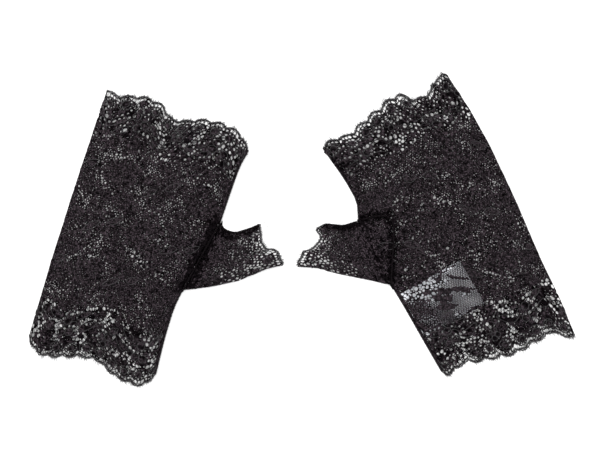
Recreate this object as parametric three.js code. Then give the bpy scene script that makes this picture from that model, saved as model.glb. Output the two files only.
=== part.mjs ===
// A pair of short fingerless mitts of stretch lace, laid flat side by side.
// Units are millimetres. +X runs from the left mitt to the right one, +Y towards the fingers, +Z up.
// The origin is the middle of the base of the pair.
//
// Each mitt is a folded tube of lace. Its own flat frame has its origin at the wrist end of the
// straight folded edge: "across" runs from that fold towards the thumb, "along" from wrist to fingers.
import * as THREE from 'three';
import { mergeVertices } from 'three/addons/utils/BufferGeometryUtils.js';

// ---- driving dimensions ----------------------------------------------------------------------
const CLOTH = 0.6;            // one layer of lace
const NARROW = 1.0;           // space between the layers at a fold or a closed seam
const HOLLOW = 5.6;           // space between the layers in the open middle of a tube
const HAND_RISE = 12;         // distance over which the hand tube opens from a fold or seam
const THUMB_RISE = 9;         // the same for the thumb tube and the thumb hole
const ROLL_R = 0.9;           // radius of an overlocked side seam
const RING_R = 0.5;           // radius of the thumb-hole seam
const CORD_R = 0.45;          // radius of the outline cord of a scalloped edge
const CLEAR = 0.3;            // clearance between neighbouring pieces
const SCALLOP_DEPTH = 1.5;    // depth of one small scallop
const SCALLOP_PITCH = 9.6;    // width of one small scallop
const EDGE_INSET = 2 * CORD_R + CLEAR;      // lace stops this far inside the outline at a mouth
const SIDE_INSET = 2 * ROLL_R + CLEAR;      // and this far inside it at a seam
const SLIT = RING_R + CLEAR + 0.1;          // half the slit that holds the thumb-hole seam
const THREAD_R = 0.28;        // radius of the loose thread
const LABEL = { length: 41, width: 30, thickness: 0.3, lift: 0.9, start: 23 };   // start: its way up the side seam

// Outlines, in each mitt's own flat frame: [across, along].
const LEFT = {
  name: 'left', corner: [-164.2, -63.9], tilt: -17.7, mirrored: false,
  fold: [[0, 0], [0, 155.3]],
  wrist: [[0, 0], [11.5, -8.9], [22, -6.4], [32, -2.4], [45, -0.8], [55, -6.9], [64, -7.9], [72, -6.6], [80, 1]],
  finger: [[0, 155.3], [7.5, 153.7], [17, 156.7], [28, 158.4], [35, 156.8], [39.5, 152.7], [44, 150.2], [49, 151.7],
    [61, 156], [71, 157], [78, 157], [85.5, 154], [92.3, 146.3]],
  sideLow: [[80, 1], [78.4, 24], [78.2, 42], [80, 54.5]],
  sideHigh: [[89.2, 100.9], [89.5, 119], [90, 135], [92.3, 146.3]],
  thumbFold: [[80, 54.5], [95, 61], [110, 69.7], [124, 81.6], [132.8, 86.5]],
  thumbTop: [[89.2, 100.9], [91.7, 97.3], [98.6, 96.7], [106, 101.7], [112.4, 107]],
  thumbMouth: [[132.8, 86.5], [129, 91], [122, 93.4], [118.3, 94.8], [114, 102], [112.4, 107]],
  bow: null,
};
const RIGHT = {
  name: 'right', corner: [164.2, -64.4], tilt: 25.9, mirrored: true,
  fold: [[0, 0], [-1.5, 26], [-1.3, 50], [-3.1, 89.3], [-3.4, 125], [0.6, 175]],
  wrist: [[0, 0], [6.7, 3.2], [11, 9.0], [18, 7.4], [25, 7.9], [32, 6.7], [40, 7], [50, 10], [59, 11.6], [67, 15.7],
    [75.5, 13.2], [81.7, 15.9]],
  finger: [[0.6, 175], [6, 175], [11, 174.6], [14, 171], [25, 170.3], [28, 174.4], [33, 178.4], [38, 177.8], [54, 173.5],
    [69, 169], [81, 171.4], [87.4, 168.4]],
  sideLow: [[81.7, 15.9], [83.2, 36], [84.6, 58], [86.1, 76.4]],
  sideHigh: [[87, 119.8], [82.7, 130.5], [83.6, 146], [87.4, 168.4]],
  thumbFold: [[86.1, 76.4], [97.7, 85.4], [111.8, 96.2], [121.2, 104.3], [132, 110.5]],
  thumbTop: [[87, 119.8], [91, 120.6], [95.9, 121.2], [101, 124.4], [105.8, 127.3]],
  thumbMouth: [[132, 110.5], [126.5, 115.5], [121, 117], [116, 117.8], [112.3, 121.2], [112, 126.4], [105.8, 127.3]],
  bow: [[87, 119.8], [79, 118.2], [70.6, 115.6], [68.3, 110], [73, 100], [78.8, 90], [84, 80.5]],
};

// ---- small helpers ---------------------------------------------------------------------------
const mix = (a, b, t) => a + (b - a) * t;
const mix2 = (p, q, t) => [mix(p[0], q[0], t), mix(p[1], q[1], t)];
const smooth = (t) => { const c = Math.min(1, Math.max(0, t)); return c * c * (3 - 2 * c); };
const span = (p, q) => Math.hypot(q[0] - p[0], q[1] - p[1]);
const range = (n) => Array.from({ length: n + 1 }, (_, i) => i / n);

/** Total length of a line of points. */
function lengthOf(line) {
  let sum = 0;
  for (let i = 1; i < line.length; i++) sum += span(line[i - 1], line[i]);
  return sum;
}

/** The point a fraction t of the way along a line of points. */
function at(line, t) {
  let left = t * lengthOf(line);
  for (let i = 1; i < line.length; i++) {
    const step = span(line[i - 1], line[i]);
    if (left <= step || i === line.length - 1) return mix2(line[i - 1], line[i], step ? left / step : 0);
    left -= step;
  }
  return line[0];
}

/** The across value of a side line at a given along value. */
function acrossAt(line, y) {
  for (let i = 1; i < line.length; i++) {
    if (y <= line[i][1] || i === line.length - 1) {
      return mix(line[i - 1][0], line[i][0], (y - line[i - 1][1]) / (line[i][1] - line[i - 1][1]));
    }
  }
  return line[0][0];
}

/** Shifts a line sideways by d, to the left of its direction, keeping the full distance at its corners. */
function offset(line, d) {
  const normals = line.slice(1).map((p, i) => {
    const n = span(line[i], p);
    return [-(p[1] - line[i][1]) / n, (p[0] - line[i][0]) / n];
  });
  return line.map((p, i) => {
    const a = normals[Math.max(0, i - 1)], b = normals[Math.min(normals.length - 1, i)];
    const m = [a[0] + b[0], a[1] + b[1]], k = 2 * d / Math.max(1, m[0] * m[0] + m[1] * m[1]);
    return [p[0] + k * m[0], p[1] + k * m[1]];
  });
}

/** A line cut short by given lengths at its two ends. */
function trimmed(line, from, to) {
  const total = lengthOf(line);
  let sum = 0;
  const inside = line.filter((p, i) => {
    if (i) sum += span(line[i - 1], p);
    return sum > from + 0.3 && sum < total - to - 0.3;
  });
  return [at(line, from / total), ...inside, at(line, 1 - to / total)];
}

/** A function that gives the point for a value t, from points at given values. */
const byKnots = (knots, points) => (t) => {
  let i = 1;
  while (i < knots.length - 1 && t > knots[i]) i++;
  return mix2(points[i - 1], points[i], (t - knots[i - 1]) / (knots[i] - knots[i - 1]));
};

/** Flat frame of a mitt to the frame of the pair. */
function placer(m) {
  const t = m.tilt * Math.PI / 180;
  const along = [-Math.sin(t), Math.cos(t)];
  const across = m.mirrored ? [-Math.cos(t), -Math.sin(t)] : [Math.cos(t), Math.sin(t)];
  return (p, z) => new THREE.Vector3(
    m.corner[0] + across[0] * p[0] + along[0] * p[1],
    m.corner[1] + across[1] * p[0] + along[1] * p[1], z);
}

/** A four-sided patch of cloth filled in from its four edges; u runs from the fold, v from the first mouth. */
function patch(first, last, fold, side) {
  const [p00, p10, p01, p11] = [first(0), first(1), last(0), last(1)];
  const foldLine = [p00, ...fold.slice(1, -1), p01];
  const sideAt = byKnots(side.knots, [p10, ...side.points.slice(1, -1), p11]);
  return (u, v) => {
    const b = first(u), t = last(u), f = at(foldLine, v), s = sideAt(v);
    return [0, 1].map((k) => (1 - v) * b[k] + v * t[k] + (1 - u) * f[k] + u * s[k]
      - ((1 - u) * (1 - v) * p00[k] + u * (1 - v) * p10[k] + (1 - u) * v * p01[k] + u * v * p11[k]));
  };
}

/** Closes an indexed grid skin into one body that faces out. */
function body(points, triangles) {
  let volume = 0;
  for (const [a, b, c] of triangles) volume += points[a].dot(points[b].clone().cross(points[c]));
  const g = new THREE.BufferGeometry();
  g.setAttribute('position', new THREE.Float32BufferAttribute(points.flatMap((p) => p.toArray()), 3));
  g.setIndex(triangles.flatMap(([a, b, c]) => (volume > 0 ? [a, b, c] : [a, c, b])));
  g.computeVertexNormals();
  return g;
}

/** A sheet of thickness CLOTH round a grid of middle points. */
function sheet(grid) {
  const nu = grid.length, nv = grid[0].length, points = [], triangles = [];
  for (const way of [-1, 1]) {
    for (let i = 0; i < nu; i++) {
      for (let j = 0; j < nv; j++) {
        const du = grid[Math.min(nu - 1, i + 1)][j].clone().sub(grid[Math.max(0, i - 1)][j]).normalize();
        const dv = grid[i][Math.min(nv - 1, j + 1)].clone().sub(grid[i][Math.max(0, j - 1)]);
        const n = du.cross(dv).normalize();
        points.push(grid[i][j].clone().addScaledVector(n, way * CLOTH / 2));
      }
    }
  }
  const id = (k, i, j) => k * nu * nv + i * nv + j;
  const quad = (a, b, c, d) => triangles.push([a, b, c], [a, c, d]);
  for (let i = 0; i < nu - 1; i++) {
    for (let j = 0; j < nv - 1; j++) {
      quad(id(1, i, j), id(1, i + 1, j), id(1, i + 1, j + 1), id(1, i, j + 1));
      quad(id(0, i, j), id(0, i, j + 1), id(0, i + 1, j + 1), id(0, i + 1, j));
    }
    quad(id(0, i, 0), id(0, i + 1, 0), id(1, i + 1, 0), id(1, i, 0));
    quad(id(1, i, nv - 1), id(1, i + 1, nv - 1), id(0, i + 1, nv - 1), id(0, i, nv - 1));
  }
  for (let j = 0; j < nv - 1; j++) {
    quad(id(0, 0, j), id(1, 0, j), id(1, 0, j + 1), id(0, 0, j + 1));
    quad(id(0, nu - 1, j), id(0, nu - 1, j + 1), id(1, nu - 1, j + 1), id(1, nu - 1, j));
  }
  return body(points, triangles);
}

/** A path through given points, stepped point by point. */
class Trail extends THREE.Curve {
  constructor(points) { super(); this.points = points; }
  getPoint(t) {
    const x = t * (this.points.length - 1), i = Math.min(this.points.length - 2, Math.floor(x));
    return this.points[i].clone().lerp(this.points[i + 1], x - i);
  }
  getPointAt(t) { return this.getPoint(t); }
  getTangentAt(t) {
    const n = this.points.length - 1, i = Math.round(t * n);
    return this.points[Math.min(n, i + 1)].clone().sub(this.points[Math.max(0, i - 1)]).normalize();
  }
}

/** A round cord along a line of 3-D points. */
function cord(points, radius, sides = 6) {
  const ring = new THREE.Shape();
  for (let i = 0; i < sides; i++) {
    const a = 2 * Math.PI * i / sides;
    if (i) ring.lineTo(radius * Math.cos(a), radius * Math.sin(a));
    else ring.moveTo(radius, 0);
  }
  const g = new THREE.ExtrudeGeometry(ring, { steps: points.length - 1, extrudePath: new Trail(points), bevelEnabled: false });
  g.deleteAttribute('normal');
  g.deleteAttribute('uv');
  const merged = mergeVertices(g, 1e-3);
  merged.computeVertexNormals();
  return merged;
}

// ---- one mitt --------------------------------------------------------------------------------
function outlines(m) {
  const scalloped = (line, toOutside, count = Math.round(lengthOf(line) / SCALLOP_PITCH)) => {
    const shifted = offset(line, -toOutside * EDGE_INSET);
    return Object.assign((u) => {
      const p = at(shifted, u), a = at(shifted, Math.max(0, u - 0.02)), b = at(shifted, Math.min(1, u + 0.02));
      const d = toOutside * SCALLOP_DEPTH * (Math.abs(Math.sin(Math.PI * count * u)) - 1), n = span(a, b);
      return [p[0] - d * (b[1] - a[1]) / n, p[1] + d * (b[0] - a[0]) / n];
    }, { count });
  };
  const chord = [m.sideLow.at(-1), m.sideHigh[0]];
  const wrist = scalloped(m.wrist, -1);
  return {
    chord,
    wrist,
    finger: scalloped(m.finger, 1, wrist.count),
    mouth: scalloped(m.thumbMouth, -1),
  };
}

function mitt(m) {
  const place = placer(m);
  const o = outlines(m);
  const chordLength = lengthOf(o.chord);
  const sideWhole = [...m.sideLow, ...m.sideHigh];

  // How far the two layers stand apart at a point of the hand tube.
  const handSpace = (p) => {
    const fromFold = p[0] - acrossAt(m.fold, p[1]);
    const fromSide = acrossAt(sideWhole, p[1]) - SIDE_INSET - p[0];
    const rise = smooth((fromFold - 0.6) / HAND_RISE);
    const nearSide = smooth(fromSide / HAND_RISE);
    const t = (p[1] - o.chord[0][1]) / (o.chord[1][1] - o.chord[0][1]);
    const hole = smooth(t * chordLength / THUMB_RISE) * smooth((1 - t) * chordLength / THUMB_RISE);
    return NARROW + (HOLLOW - NARROW) * rise * (1 - (1 - nearSide) * (1 - hole));
  };

  // The hand's side edge: inset from the outline, and cut back along the thumb hole.
  const knots = sideWhole.map((_, i) => lengthOf(sideWhole.slice(0, i + 1)) / lengthOf(sideWhole));
  const sideInset = (slit) => ({
    knots,
    points: [...offset(m.sideLow, SIDE_INSET).slice(0, -1), offset(o.chord, slit)[0],
      offset(o.chord, slit)[1], ...offset(m.sideHigh, SIDE_INSET).slice(1)],
  });
  const upperSlit = m.bow ? 0.75 * CLEAR : SLIT;
  const handLower = patch(o.wrist, o.finger, m.fold, sideInset(SLIT));
  const handUpper = patch(o.wrist, o.finger, m.fold, sideInset(upperSlit));
  // Lines along the tube fall on the ends of the thumb hole and where it opens.
  const sideLength = lengthOf(sideWhole), low = lengthOf(m.sideLow);
  const stations = [...knots, ...[4.5, THUMB_RISE, chordLength / 2, chordLength - THUMB_RISE, chordLength - 4.5]
    .map((s) => (low + s) / sideLength)].sort((a, b) => a - b);

  // A folded sheet: lower layer, a tight turn at the fold, upper layer.
  const bend = (NARROW + CLOTH) / 2;
  const folded = (lower, upper, space, width, uSteps, vSteps, topOf) => {
    const columns = [];
    const start = (CLOTH / 2 + bend) / width;
    const us = uSteps.filter((u) => u > start * 1.6);
    for (const u of [...us].reverse()) columns.push(vSteps.map((v) => place(lower(u, v), CLOTH / 2)));
    for (const turn of [-90, -45, 0, 45, 90]) {
      const r = turn * Math.PI / 180, u = (CLOTH / 2 + bend * (1 - Math.cos(r))) / width;
      columns.push(vSteps.map((v) => place(lower(u, v), CLOTH / 2 + bend * (1 + Math.sin(r)))));
    }
    for (const u of us) {
      columns.push(vSteps.map((v) => { const p = upper(u, v); return place(p, 1.5 * CLOTH + space(p, u, v)); }));
    }
    return sheet(columns, topOf);
  };

  const handSteps = range(3 * o.wrist.count);
  const pieces = {};
  pieces.hand_panel = folded(handLower, handUpper, handSpace, 85, handSteps, stations);

  // Thumb tube: folded along its lower edge, from the thumb hole to its own mouth.
  const baseLine = (slit) => offset(o.chord, -slit);
  const thumbBase = (upper) => (u) => {
    const slit = upper ? mix(SLIT, upperSlit, smooth(u / 0.15)) : SLIT;
    return at(baseLine(slit), u);
  };
  const topInset = {
    knots: m.thumbTop.map((_, i) => lengthOf(m.thumbTop.slice(0, i + 1)) / lengthOf(m.thumbTop)),
    points: offset(m.thumbTop, -SIDE_INSET),
  };
  const thumbStations = [...topInset.knots, 0.12].sort((a, b) => a - b);
  const thumbLower = patch(thumbBase(false), o.mouth, m.thumbFold, topInset);
  const thumbUpper = patch(thumbBase(true), o.mouth, m.thumbFold, topInset);
  const thumbSpace = (p, u, v) => {
    const across = mix(chordLength, lengthOf([m.thumbFold.at(-1), m.thumbTop.at(-1)]), v);
    return NARROW + (HOLLOW - NARROW) * smooth((u * across - 0.6) / THUMB_RISE) * smooth((1 - u) * across / THUMB_RISE);
  };
  pieces.thumb_panel = folded(thumbLower, thumbUpper, thumbSpace, 38, range(3 * o.mouth.count), thumbStations);

  // Outline cords round the three mouths: out along the lower layer, round the fold, back along the upper one.
  const edgeCord = (edge, outside, space, foldOut) => {
    const steps = range(3 * edge.count).filter((u) => u > 0.03 && u < 0.985);
    const flat = offset([edge(0), ...steps.map(edge), edge(1)], outside * (CORD_R + CLEAR + 0.1)).slice(1, -1);
    const points = [];
    for (const p of [...flat].reverse()) points.push(place(p, CORD_R + 0.05));
    const lowZ = CORD_R + 0.05, highZ = 1.5 * CLOTH + NARROW, r = (highZ - lowZ) / 2;
    const first = flat[0], turnAt = [first[0] - foldOut[0] * 1.2, first[1] - foldOut[1] * 1.2];
    for (const turn of [-90, -54, -18, 18, 54, 90]) {
      const a = turn * Math.PI / 180;
      points.push(place([turnAt[0] - foldOut[0] * r * Math.cos(a), turnAt[1] - foldOut[1] * r * Math.cos(a)],
        lowZ + r * (1 + Math.sin(a))));
    }
    for (const [i, p] of flat.entries()) points.push(place(p, 1.5 * CLOTH + space(p, steps[i])));
    return cord(points, CORD_R);
  };
  pieces.finger_edge_cord = edgeCord(o.finger, 1, handSpace, [1, 0]);
  pieces.wrist_edge_cord = edgeCord(o.wrist, -1, handSpace, [1, 0]);
  pieces.thumb_edge_cord = edgeCord(o.mouth, -1, (p, u) => thumbSpace(p, u, 1), [-0.45, 0.89]);

  // Overlocked seams lie against the two closed sides of the hand tube and along the top of the thumb.
  const roll = (edge, way, from, to) => cord(
    trimmed(offset(edge, way * (ROLL_R + CLEAR + 0.15)), from, to).map((p) => place(p, CLOTH + NARROW / 2)), ROLL_R);
  const sideEdge = stations.map((v) => handLower(1, v));
  const atLow = stations.indexOf(knots[m.sideLow.length - 1]), atHigh = stations.indexOf(knots[m.sideLow.length]);
  pieces.lower_side_seam = roll(sideEdge.slice(0, atLow + 1), -1, 2.2, 4.2);
  pieces.upper_side_seam = roll(sideEdge.slice(atHigh), -1, 2.6, 2.2);
  pieces.thumb_top_seam = roll(thumbStations.map((v) => thumbLower(1, v)), 1, 4.8, 2.2);

  // Thumb-hole seam: along the lower slit, round the lower end of the hole, back along the upper layer.
  const [holeLow, holeHigh] = o.chord;
  const inward = mix2(holeLow, holeHigh, 1 / chordLength).map((c, k) => c - holeLow[k]);
  const lowRun = range(8).map((t) => place(mix2(holeHigh, holeLow, mix(0.03, 1, t)), RING_R + 0.05));
  const lowZ = RING_R + 0.05;
  const highZ = m.bow ? 2 * CLOTH + NARROW + CLEAR + 0.1 + RING_R : 1.5 * CLOTH + NARROW;
  const r = (highZ - lowZ) / 2, out = m.bow ? 0.8 : 0.3;
  const turn = [-60, -30, 0, 30, 60, 90].map((deg) => {
    const a = deg * Math.PI / 180, d = out * smooth((deg + 90) / 60) + r * Math.cos(a);
    return place([holeLow[0] - inward[0] * d, holeLow[1] - inward[1] * d], lowZ + r * (1 + Math.sin(a)));
  });
  let highRun;
  if (m.bow) {
    const line = [...m.bow].reverse(), total = lengthOf(line);
    highRun = range(14).map((t) => {
      const p = at(line, mix(0.6 / total, 1 - 3.2 / total, t));
      return place(p, 2 * CLOTH + handSpace(p) + CLEAR + 0.5 + RING_R);
    });
  } else {
    highRun = range(14).map((t) => {
      const p = mix2(holeLow, holeHigh, mix(0.0, 0.97, t));
      return place(p, 1.5 * CLOTH + handSpace([p[0] - SLIT, p[1]]));
    });
  }
  pieces.thumb_hole_seam = cord([...lowRun, ...turn, ...(m.bow ? highRun : highRun.slice(1))], RING_R);

  return { place, pieces, handSpace };
}

// ---- the pair --------------------------------------------------------------------------------
const COLOURS = {
  panel: 0x1a171a, seam: 0x121013, cord: 0x262328, label: 0xd9d8dc, thread: 0xb9b4b0,
};
const pair = new THREE.Group();
pair.name = 'lace_mitts';
const add = (name, geometry, slot) => {
  const mesh = new THREE.Mesh(geometry, new THREE.MeshStandardMaterial({ name: slot, color: COLOURS[slot], roughness: 0.7 }));
  mesh.name = name;
  pair.add(mesh);
};
const slotOf = (piece) => (piece.endsWith('panel') ? 'panel' : piece.endsWith('cord') ? 'cord' : 'seam');

for (const m of [LEFT, RIGHT]) {
  const { place, pieces } = mitt(m);
  for (const [piece, geometry] of Object.entries(pieces)) add(`${m.name}_${piece}`, geometry, slotOf(piece));

  if (m.name === 'left') {
    // The loose thread springs from the upper corner of the thumb mouth and curls over.
    const root = m.thumbTop.at(-1);
    const curl = [[1.2, 1.1, 2.4], [2.4, 1.0, 2.7], [3.5, 0.3, 2.6], [4.4, -0.8, 2.3], [5.0, -2.0, 1.8], [5.3, -3.2, 1.2]];
    add('left_loose_thread', cord(curl.map(([x, y, z]) => place([root[0] + x, root[1] + y], z)), THREAD_R), 'thread');
  } else {
    // The label lies between the layers with one short end in the lower side seam.
    const seam = offset(m.sideLow, SIDE_INSET);
    const low = at(seam, LABEL.start / lengthOf(seam));
    const high = at(seam, (LABEL.start + LABEL.width) / lengthOf(seam));
    const edge = [(high[0] - low[0]) / LABEL.width, (high[1] - low[1]) / LABEL.width];
    const into = [-edge[1], edge[0]];
    const corners = [low, high,
      [high[0] + into[0] * LABEL.length, high[1] + into[1] * LABEL.length],
      [low[0] + into[0] * LABEL.length, low[1] + into[1] * LABEL.length]];
    const points = [], triangles = [];
    for (const z of [LABEL.lift, LABEL.lift + LABEL.thickness]) for (const c of corners) points.push(place(c, z));
    const quad = (a, b, c, d) => triangles.push([a, b, c], [a, c, d]);
    quad(0, 3, 2, 1);
    quad(4, 5, 6, 7);
    for (let i = 0; i < 4; i++) quad(i, (i + 1) % 4, 4 + (i + 1) % 4, 4 + i);
    add('right_care_label', body(points, triangles), 'label');
  }
}

// Stand the pair on its base with the origin under its middle.
const whole = new THREE.Box3();
for (const mesh of pair.children) {
  mesh.geometry.computeBoundingBox();
  whole.union(mesh.geometry.boundingBox);
}
const shift = new THREE.Vector3((whole.min.x + whole.max.x) / 2, (whole.min.y + whole.max.y) / 2, whole.min.z);
for (const mesh of pair.children) mesh.geometry.translate(-shift.x, -shift.y, -shift.z);

export default pair;
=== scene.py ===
"""A pair of short fingerless mitts of black stretch lace, laid flat side by side.

Each mitt is a folded tube of galloon lace with a thumb tube sewn to its side. The lace is real
geometry: a net of round threads whose holes, solid flowers and leaves are laid out on the flat
cloth and then carried on to the folded tube. Lengths are in millimetres until a mesh is made.
"""
import math

import bpy
import numpy as np
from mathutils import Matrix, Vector
from mathutils.geometry import delaunay_2d_cdt


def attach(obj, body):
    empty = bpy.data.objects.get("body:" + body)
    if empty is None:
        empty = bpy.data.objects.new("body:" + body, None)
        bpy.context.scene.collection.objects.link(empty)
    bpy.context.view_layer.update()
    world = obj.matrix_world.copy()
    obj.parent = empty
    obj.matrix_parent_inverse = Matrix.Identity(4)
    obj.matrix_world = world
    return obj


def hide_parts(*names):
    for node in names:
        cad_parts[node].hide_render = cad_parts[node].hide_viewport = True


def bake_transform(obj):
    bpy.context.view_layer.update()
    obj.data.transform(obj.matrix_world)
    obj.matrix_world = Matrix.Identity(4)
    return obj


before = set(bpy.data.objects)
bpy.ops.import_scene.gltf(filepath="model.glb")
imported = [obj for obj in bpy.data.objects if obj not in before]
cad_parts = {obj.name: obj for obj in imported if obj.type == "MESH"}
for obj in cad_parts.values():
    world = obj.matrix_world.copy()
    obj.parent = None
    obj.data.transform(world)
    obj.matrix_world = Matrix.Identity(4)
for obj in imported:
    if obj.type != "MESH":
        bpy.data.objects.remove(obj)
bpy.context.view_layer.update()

MM = 0.001

# ---- the cut of the mitts, as in the solid model ---------------------------------------------
CLOTH = 0.6          # thickness that the solid model gives one layer
NARROW = 1.0         # space between the layers at a fold or closed seam
HOLLOW = 5.6         # space between the layers in the open middle of a tube
HAND_RISE = 12.0     # distance over which the hand tube opens
THUMB_RISE = 9.0     # the same for the thumb tube
SIDE_INSET = 1.9     # lace stops this far inside the outline at a seam
EDGE_INSET = 0.4     # and this far inside it at a mouth
SLIT = 0.7           # half the slit that the thumb-hole seam fills
BOWED_SLIT = 0.12    # the same in an upper layer with the seam's bowed run on top of it
HAND_SIZE, THUMB_SIZE = (85.0, 158.0), (38.0, 44.0)   # width and length that the net is laid out for
HINGE_BAND, HINGE_HEIGHT = (0.5, 9.0), 7.3            # where the thumb's cloth bends as it folds over
BEND = (NARROW + CLOTH) / 2
TURN = BEND * math.pi / 2
SHIFT = np.array([-0.0216, 0.2374])   # from the drawing's origin to the middle of the pair

# Outlines in each mitt's own flat frame: [across from the fold, along from the wrist].
LEFT = dict(
    name="left", corner=(-164.2, -63.9), tilt=-17.7, mirrored=False,
    fold=[[-0.3, 0], [-1.1, 50], [-1.2, 100], [-0.4, 155.8]],
    wrist=[[-0.3, 0], [2.4, -4.6], [11.5, -9.2], [22, -6.6], [32, -2.6], [45, -0.9], [55, -7.2], [64, -8.6],
           [73, -8.4], [77, -5.4], [80, 1]],
    finger=[[-0.4, 156.2], [7.5, 154], [17, 156.7], [28, 158.4], [35, 156.8], [39.5, 152.7], [44, 150.2],
            [49, 151.7], [61, 156], [71, 157], [78, 157], [85.5, 154], [92.3, 146.3]],
    side_low=[[80, 1], [78.4, 24], [78.2, 42], [80, 54.5]],
    side_high=[[89.2, 100.9], [89.5, 119], [90, 135], [92.3, 146.3]],
    thumb_fold=[[80, 54.5], [95, 61], [110, 69.7], [124, 81.6], [132.8, 86.5]],
    thumb_top=[[89.2, 100.9], [91.7, 97.3], [98.6, 96.7], [106, 101.7], [112.4, 107]],
    thumb_mouth=[[132.8, 86.5], [132.6, 88.6], [129, 90.2], [127, 94.2], [124.6, 95.2], [119.8, 93.2],
                 [116.2, 98], [113.6, 102.4], [112.4, 107]],
    bow=None,
)
RIGHT = dict(
    name="right", corner=(164.2, -64.4), tilt=25.9, mirrored=True,
    fold=[[-0.3, -0.4], [-2, 26], [-2, 50], [-3.8, 89.3], [-4.3, 125], [-2.9, 150], [0.2, 176.6]],
    wrist=[[-0.3, -0.4], [6.7, 3.2], [11, 9.0], [18, 7.4], [25, 7.9], [32, 6.7], [40, 7], [50, 10],
           [59, 11.6], [67, 15.7], [75.5, 12.6], [79.6, 12.0], [81.7, 15.9]],
    finger=[[0.2, 176.6], [2.4, 178.2], [6, 176.0], [11.6, 176.0], [12.8, 171.3], [15, 170.2], [25, 170.0],
            [28, 174.6], [33, 178.4], [38, 177.8], [54, 173.5], [69, 169], [81, 171.4], [87.4, 168.4]],
    side_low=[[81.7, 15.9], [83.2, 36], [84.6, 58], [86.1, 76.4]],
    side_high=[[87, 119.8], [82.7, 130.5], [83.6, 146], [87.4, 168.4]],
    thumb_fold=[[86.1, 76.4], [97.7, 85.4], [111.8, 96.2], [121.2, 104.3], [132, 110.5]],
    thumb_top=[[87, 119.8], [91, 120.6], [95.9, 121.2], [101, 124.4], [105.8, 127.3]],
    thumb_mouth=[[132, 110.5], [130.6, 113.6], [126.8, 114.6], [124.9, 118.2], [119.5, 117], [115, 118.3],
                 [111.6, 121.8], [112.6, 126.6], [105.8, 127.3]],
    bow=[[87, 119.8], [79, 118.2], [70.6, 115.6], [68.3, 110], [73, 100], [78.8, 90], [84, 80.5]],
)

# ---- the lace --------------------------------------------------------------------------------
GROUND_PITCH = 1.42     # cell to cell in the fine ground of the middle
BORDER_PITCH = 2.15     # and in the open borders
SCALLOP_PITCH = 9.6     # width of one small scallop
SCALLOP_DEPTH = {"left": (1.7, 1.8), "right": (1.9, 2.5)}     # at the wrist and at the finger mouth
THUMB_SCALLOPS, THUMB_SCALLOP_DEPTH = 3, 0.8      # across one layer of the thumb's mouth
SCALLOP_FADE = 11.0     # how far in from a mouth its scallops still bend the rows of cells
LOBE = 47.0             # width of one repeat of the pattern, and of one large lobe
LOBE_RISE = 3.2         # how far the borders' inner sides rise and fall with the lobes
ROW = 26.0              # height of one row of flowers in the middle
FINGER_BORDER = 25.0    # depth of the open border at the finger mouth
WRIST_BORDER = 31.0     # and at the wrist
THUMB_BORDER = 27.0     # and at the thumb's mouth
CLEARANCE = 0.03        # the lowest that any thread lies
RING_RADII = (2.1, 4.0)     # the two outline threads round each small ring in the scallops

# The width of a cell's hole as a share of the cell, and the thickness of the threads round it.
MOUTH_ROW = (0.88, 0.27)
RING_MIDDLE, RING_ROUND = (0.0, 0.75), (0.66, 0.38)
ARC_ROW, SCROLL_ROW = (0.76, 0.38), (0.80, 0.34)
BORDER_NET, GROUND_NET = (0.72, 0.35), (0.57, 0.30)
# The fine, the coarse and the glinting net over the label: the pitch, how uneven it is, and then as above.
LABEL_NETS = ((1.05, 0.07, 0.60, 0.26), (1.75, 0.30, 0.74, 0.36), (1.5, 0.2, 0.78, 0.28))

LABEL_START, LABEL_WIDTH, LABEL_LENGTH = 23.0, 30.0, 41.0   # the label's way up the seam, and its size
LABEL_LOW = 1.05        # height of its sewn end

# The seams and edge threads.
SIDE_SEAM, THUMB_SEAM, RING_CORE, RING_LOOP = 1.02, 0.85, 0.42, 0.45    # how thick the seams are
SEAM_HEIGHT = CLOTH + NARROW / 2
LOOP_PITCH = 1.15       # from one overlocked loop to the next
RING_LOW = 0.55         # height of the thumb-hole seam along the lower layer
HAIR = np.array([0.15, 0.11, 0.04])     # a hair of the fringe thins towards its end
CORD_FLOOR, HAIR_FLOOR = 0.5, 0.25      # how low the edge threads and the fringe come


def smooth(t):
    """A smooth step from 0 to 1."""
    t = np.clip(t, 0.0, 1.0)
    return t * t * (3 - 2 * t)


def soft_noise(x, y, seed, scale):
    """A smooth wandering value from about -1 to 1 over the plane."""
    rng = np.random.default_rng(seed)
    total = np.zeros_like(np.asarray(x, float))
    for _ in range(6):
        angle, phase = rng.uniform(0, 2 * math.pi), rng.uniform(0, 2 * math.pi)
        stretch = rng.uniform(0.7, 1.5)
        k = 2 * math.pi / (scale * stretch)
        total = total + np.sin(k * (x * math.cos(angle) + y * math.sin(angle)) + phase)
    return total / 3.2


def unit(v):
    """Directions of length one."""
    return v / np.linalg.norm(v, axis=1)[:, None]


def run(points):
    """How far along a line each of its points lies."""
    return np.r_[0, np.cumsum(np.linalg.norm(np.diff(points, axis=0), axis=1))]


def read(t, s, points):
    """The places at distances t along a line whose points lie at distances s."""
    return np.stack([np.interp(t, s, column) for column in points.T], -1)


def circle(count, start=0.0):
    """Points spread evenly round a circle of radius one."""
    a = np.arange(count) * 2 * math.pi / count + start
    return np.stack([np.cos(a), np.sin(a)], -1)


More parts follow.
